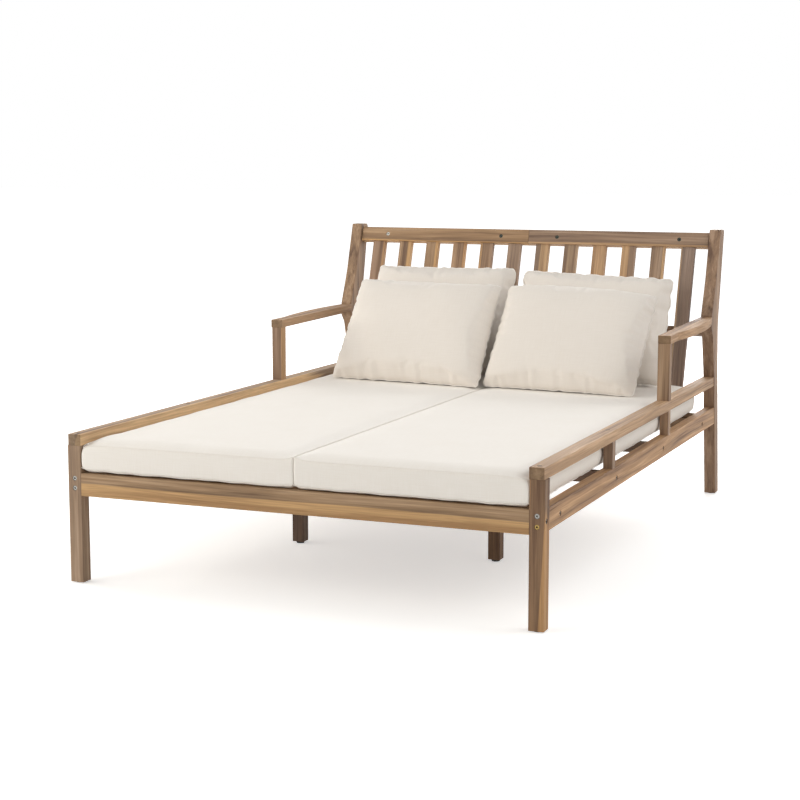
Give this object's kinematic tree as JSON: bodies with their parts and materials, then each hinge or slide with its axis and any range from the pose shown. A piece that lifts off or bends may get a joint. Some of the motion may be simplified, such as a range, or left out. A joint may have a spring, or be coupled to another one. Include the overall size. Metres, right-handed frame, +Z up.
{
  "type": "outdoor daybed",
  "caption": "Double outdoor daybed with slatted timber frame, reclined slat back, low arms, side-by-side boxed seat cushions and loose knife-edge pillows.",
  "frame": {"origin": "on the floor, under the middle of the daybed's outer box", "axes": "+X to the right of someone standing in front, +Y from the foot end to the back, +Z up"},
  "size_m": [1.392, 1.957, 0.906],
  "materials": {
    "acacia": "oiled, matt",
    "acacia_plug": "oiled, matt",
    "zinc_steel": "zinc plated",
    "black_plastic": "matt moulded",
    "cushion_canvas": "plain woven canvas",
    "pillow_canvas": "plain woven canvas"
  },
  "bodies": {
    "frame": {"front_leg_left": "acacia", "front_leg_right": "acacia", "rear_post_left": "acacia", "rear_post_right": "acacia", "side_top_rail_left": "acacia", "side_top_rail_right": "acacia", "side_apron_left": "acacia", "side_apron_right": "acacia", "front_spacer_left": "acacia", "front_spacer_right": "acacia", "rear_spacer_left": "acacia", "rear_spacer_right": "acacia", "arm_post_left": "acacia", "arm_post_right": "acacia", "armrest_left": "acacia", "armrest_right": "acacia", "mid_leg_left": "acacia", "mid_leg_right": "acacia", "top_back_rail_left": "acacia", "top_back_rail_right": "acacia", "back_batten_left": "acacia", "back_batten_right": "acacia", "front_rail": "acacia", "mid_back_rail": "acacia", "back_batten_middle": "acacia", "back_bearer": "acacia", "cross_bearer_1": "acacia", "cross_bearer_2": "acacia", "cross_bearer_3": "acacia", "seat_slat_1": "acacia", "seat_slat_2": "acacia", "seat_slat_3": "acacia", "seat_slat_4": "acacia", "seat_slat_5": "acacia", "seat_slat_6": "acacia", "seat_slat_7": "acacia", "seat_slat_8": "acacia", "back_slat_1": "acacia", "back_slat_2": "acacia", "back_slat_3": "acacia", "back_slat_4": "acacia", "back_slat_5": "acacia", "back_slat_6": "acacia", "back_slat_7": "acacia", "back_slat_8": "acacia", "back_slat_9": "acacia", "back_slat_10": "acacia", "back_slat_11": "acacia", "back_slat_12": "acacia", "rail_plugs": "acacia_plug", "frame_bolts": "zinc_steel", "rail_screws": "zinc_steel", "barrel_nuts": "zinc_steel", "floor_glides": "black_plastic"},
    "seat_cushion_body_left": {"seat_cushion_left": "cushion_canvas"},
    "rear_pillow_body_left": {"rear_pillow_left": "pillow_canvas"},
    "front_pillow_body_left": {"front_pillow_left": "pillow_canvas"},
    "seat_cushion_body_right": {"seat_cushion_right": "cushion_canvas"},
    "rear_pillow_body_right": {"rear_pillow_right": "pillow_canvas"},
    "front_pillow_body_right": {"front_pillow_right": "pillow_canvas"}
  },
  "joints": [
    {"name": "seat_cushion_lift_left", "type": "slide", "parent": "frame", "child": "seat_cushion_body_left", "axis": [0, 0, 1], "range_m": [0, 0.62]},
    {"name": "rear_pillow_lift_left", "type": "slide", "parent": "seat_cushion_body_left", "child": "rear_pillow_body_left", "axis": [0, 0, 1], "range_m": [0, 0.45]},
    {"name": "front_pillow_lift_left", "type": "slide", "parent": "rear_pillow_body_left", "child": "front_pillow_body_left", "axis": [0, 0, 1], "range_m": [0, 0.4]},
    {"name": "seat_cushion_lift_right", "type": "slide", "parent": "frame", "child": "seat_cushion_body_right", "axis": [0, 0, 1], "range_m": [0, 0.62]},
    {"name": "rear_pillow_lift_right", "type": "slide", "parent": "seat_cushion_body_right", "child": "rear_pillow_body_right", "axis": [0, 0, 1], "range_m": [0, 0.45]},
    {"name": "front_pillow_lift_right", "type": "slide", "parent": "rear_pillow_body_right", "child": "front_pillow_body_right", "axis": [0, 0, 1], "range_m": [0, 0.4]}
  ]
}
